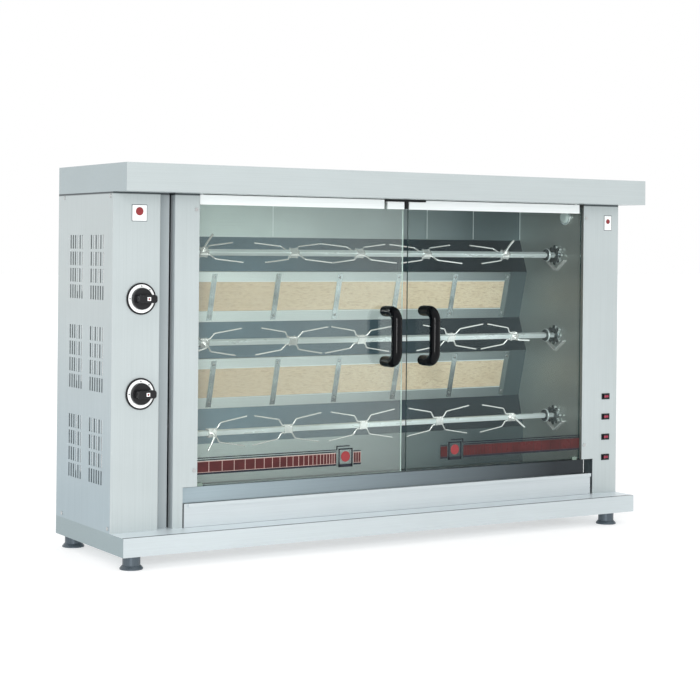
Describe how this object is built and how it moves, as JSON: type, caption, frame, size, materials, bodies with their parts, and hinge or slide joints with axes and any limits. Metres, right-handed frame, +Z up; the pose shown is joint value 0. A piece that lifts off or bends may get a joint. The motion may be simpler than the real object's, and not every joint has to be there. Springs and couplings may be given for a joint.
{
  "type": "rotisserie oven",
  "caption": "Gas rotisserie oven: steel cabinet with glass doors, driven spits with sliding forks, tilted ceramic burners, grease tray, gas knobs and rocker switches.",
  "frame": {"origin": "middle of the footprint, on the floor under the levelling feet", "axes": "+X along the cabinet's width to the viewer's right, +Y from the doors to the back, +Z up"},
  "size_m": [1.226, 0.345, 0.74],
  "materials": {
    "panel_steel": "satin, fine brushed",
    "liner_steel": "bright annealed sheet",
    "chrome_wire": "polished",
    "ceramic_tile": "matt, pierced face",
    "gas_brass": "machined",
    "motor_paint": "semi-gloss",
    "door_glass": "tempered, clear with a green edge",
    "handle_black": "glossy phenolic",
    "knob_black": "satin",
    "switch_red": "translucent red",
    "bezel_black": "satin",
    "foot_grey": "satin",
    "catch_black": "matt",
    "spindle_steel": "turned",
    "lamp_glass": "clear dome in a bright ring",
    "bronze_bush": "sintered bronze"
  },
  "bodies": {
    "cabinet": {"base_plinth": "panel_steel", "levelling_feet": "foot_grey", "top_hood": "panel_steel", "left_side_panel": "panel_steel", "right_side_panel": "panel_steel", "rear_panel": "panel_steel", "control_panel": "panel_steel", "left_stile": "panel_steel", "right_front_panel": "panel_steel", "chamber_left_wall": "liner_steel", "chamber_right_wall": "liner_steel", "chamber_liner": "liner_steel", "chamber_ceiling": "liner_steel", "front_sill": "panel_steel", "burner_frames": "liner_steel", "burner_plaques": "ceramic_tile", "gas_train": "gas_brass", "gear_motors": "motor_paint", "power_gland": "bezel_black", "spit_bushes": "bronze_bush", "chamber_lamp": "lamp_glass", "door_catch": "catch_black", "control_bezels": "bezel_black", "panel_screws": "spindle_steel"},
    "grease_tray": {"grease_tray": "panel_steel"},
    "door_left": {"door_glass_left": "door_glass", "door_fittings_left": "panel_steel", "door_handle_left": "handle_black"},
    "door_right": {"door_glass_right": "door_glass", "door_fittings_right": "panel_steel", "door_handle_right": "handle_black"},
    "drive_1": {"drive_socket_1": "chrome_wire"},
    "spit_1": {"spit_1": "chrome_wire"},
    "fork_1_1": {"fork_1_1": "chrome_wire"},
    "fork_1_2": {"fork_1_2": "chrome_wire"},
    "fork_1_3": {"fork_1_3": "chrome_wire"},
    "fork_1_4": {"fork_1_4": "chrome_wire"},
    "fork_1_5": {"fork_1_5": "chrome_wire"},
    "drive_2": {"drive_socket_2": "chrome_wire"},
    "spit_2": {"spit_2": "chrome_wire"},
    "fork_2_1": {"fork_2_1": "chrome_wire"},
    "fork_2_2": {"fork_2_2": "chrome_wire"},
    "fork_2_3": {"fork_2_3": "chrome_wire"},
    "fork_2_4": {"fork_2_4": "chrome_wire"},
    "fork_2_5": {"fork_2_5": "chrome_wire"},
    "drive_3": {"drive_socket_3": "chrome_wire"},
    "spit_3": {"spit_3": "chrome_wire"},
    "fork_3_1": {"fork_3_1": "chrome_wire"},
    "fork_3_2": {"fork_3_2": "chrome_wire"},
    "fork_3_3": {"fork_3_3": "chrome_wire"},
    "fork_3_4": {"fork_3_4": "chrome_wire"},
    "fork_3_5": {"fork_3_5": "chrome_wire"},
    "spindle_lower": {"spindle_lower": "gas_brass"},
    "knob_lower": {"knob_lower": "knob_black"},
    "spindle_upper": {"spindle_upper": "gas_brass"},
    "knob_upper": {"knob_upper": "knob_black"},
    "rocker_1": {"rocker_1": "switch_red"},
    "rocker_2": {"rocker_2": "switch_red"},
    "rocker_3": {"rocker_3": "switch_red"},
    "rocker_4": {"rocker_4": "switch_red"}
  },
  "joints": [
    {"name": "door_left_hinge", "type": "hinge", "parent": "cabinet", "child": "door_left", "pos_m": [-0.427, -0.1045, 0.425], "axis": [0, 0, -1], "range_deg": [0, 105]},
    {"name": "door_right_hinge", "type": "hinge", "parent": "cabinet", "child": "door_right", "pos_m": [0.476, -0.1045, 0.425], "axis": [0, 0, 1], "range_deg": [0, 105]},
    {"name": "tray_slide", "type": "slide", "parent": "cabinet", "child": "grease_tray", "axis": [0, -1, 0], "range_m": [0, 0.2]},
    {"name": "spit_1_turn", "type": "hinge", "parent": "cabinet", "child": "drive_1", "pos_m": [0.488, -0.0125, 0.5776], "axis": [1, 0, 0], "continuous": true},
    {"name": "spit_1_release", "type": "slide", "parent": "drive_1", "child": "spit_1", "axis": [1, 0, 0], "range_m": [0, 0.012]},
    {"name": "fork_1_1_slide", "type": "slide", "parent": "spit_1", "child": "fork_1_1", "axis": [1, 0, 0], "range_m": [-0.023, 0.0246]},
    {"name": "fork_1_2_slide", "type": "slide", "parent": "spit_1", "child": "fork_1_2", "axis": [1, 0, 0], "range_m": [-0.0246, 0.0011]},
    {"name": "fork_1_3_slide", "type": "slide", "parent": "spit_1", "child": "fork_1_3", "axis": [1, 0, 0], "range_m": [-0.0011, 0.0061]},
    {"name": "fork_1_4_slide", "type": "slide", "parent": "spit_1", "child": "fork_1_4", "axis": [1, 0, 0], "range_m": [-0.0061, 0.0261]},
    {"name": "fork_1_5_slide", "type": "slide", "parent": "spit_1", "child": "fork_1_5", "axis": [1, 0, 0], "range_m": [-0.0261, 0.06]},
    {"name": "spit_2_turn", "type": "hinge", "parent": "cabinet", "child": "drive_2", "pos_m": [0.488, -0.0125, 0.4008], "axis": [1, 0, 0], "continuous": true},
    {"name": "spit_2_release", "type": "slide", "parent": "drive_2", "child": "spit_2", "axis": [1, 0, 0], "range_m": [0, 0.012]},
    {"name": "fork_2_1_slide", "type": "slide", "parent": "spit_2", "child": "fork_2_1", "axis": [1, 0, 0], "range_m": [-0.026, 0.0226]},
    {"name": "fork_2_2_slide", "type": "slide", "parent": "spit_2", "child": "fork_2_2", "axis": [1, 0, 0], "range_m": [-0.0226, 0.00435]},
    {"name": "fork_2_3_slide", "type": "slide", "parent": "spit_2", "child": "fork_2_3", "axis": [1, 0, 0], "range_m": [-0.00435, 0.03535]},
    {"name": "fork_2_4_slide", "type": "slide", "parent": "spit_2", "child": "fork_2_4", "axis": [1, 0, 0], "range_m": [-0.03535, 0.0066]},
    {"name": "fork_2_5_slide", "type": "slide", "parent": "spit_2", "child": "fork_2_5", "axis": [1, 0, 0], "range_m": [-0.0066, 0.06]},
    {"name": "spit_3_turn", "type": "hinge", "parent": "cabinet", "child": "drive_3", "pos_m": [0.488, -0.0125, 0.224], "axis": [1, 0, 0], "continuous": true},
    {"name": "spit_3_release", "type": "slide", "parent": "drive_3", "child": "spit_3", "axis": [1, 0, 0], "range_m": [0, 0.012]},
    {"name": "fork_3_1_slide", "type": "slide", "parent": "spit_3", "child": "fork_3_1", "axis": [1, 0, 0], "range_m": [-0.04, 0.0086]},
    {"name": "fork_3_2_slide", "type": "slide", "parent": "spit_3", "child": "fork_3_2", "axis": [1, 0, 0], "range_m": [-0.0086, 0.01185]},
    {"name": "fork_3_3_slide", "type": "slide", "parent": "spit_3", "child": "fork_3_3", "axis": [1, 0, 0], "range_m": [-0.01185, 0.0181]},
    {"name": "fork_3_4_slide", "type": "slide", "parent": "spit_3", "child": "fork_3_4", "axis": [1, 0, 0], "range_m": [-0.0181, 0.0181]},
    {"name": "fork_3_5_slide", "type": "slide", "parent": "spit_3", "child": "fork_3_5", "axis": [1, 0, 0], "range_m": [-0.0181, 0.06]},
    {"name": "knob_lower_push", "type": "slide", "parent": "cabinet", "child": "spindle_lower", "axis": [0, 1, 0], "range_m": [0, 0.0035], "stiffness_N_per_m": 1500, "springref_m": -0.002},
    {"name": "knob_lower_turn", "type": "hinge", "parent": "spindle_lower", "child": "knob_lower", "pos_m": [-0.5545, -0.1225, 0.315], "axis": [0, -1, 0], "range_deg": [0, 180]},
    {"name": "knob_upper_push", "type": "slide", "parent": "cabinet", "child": "spindle_upper", "axis": [0, 1, 0], "range_m": [0, 0.0035], "stiffness_N_per_m": 1500, "springref_m": -0.002},
    {"name": "knob_upper_turn", "type": "hinge", "parent": "spindle_upper", "child": "knob_upper", "pos_m": [-0.5545, -0.1225, 0.491], "axis": [0, -1, 0], "range_deg": [0, 180]},
    {"name": "rocker_1_tip", "type": "hinge", "parent": "cabinet", "child": "rocker_1", "pos_m": [0.557, -0.1105, 0.2703], "axis": [0, 0, -1], "range_deg": [0, 18]},
    {"name": "rocker_2_tip", "type": "hinge", "parent": "cabinet", "child": "rocker_2", "pos_m": [0.557, -0.1105, 0.2262], "axis": [0, 0, -1], "range_deg": [0, 18]},
    {"name": "rocker_3_tip", "type": "hinge", "parent": "cabinet", "child": "rocker_3", "pos_m": [0.557, -0.1105, 0.1821], "axis": [0, 0, -1], "range_deg": [0, 18]},
    {"name": "rocker_4_tip", "type": "hinge", "parent": "cabinet", "child": "rocker_4", "pos_m": [0.557, -0.1105, 0.138], "axis": [0, 0, -1], "range_deg": [0, 18]}
  ]
}
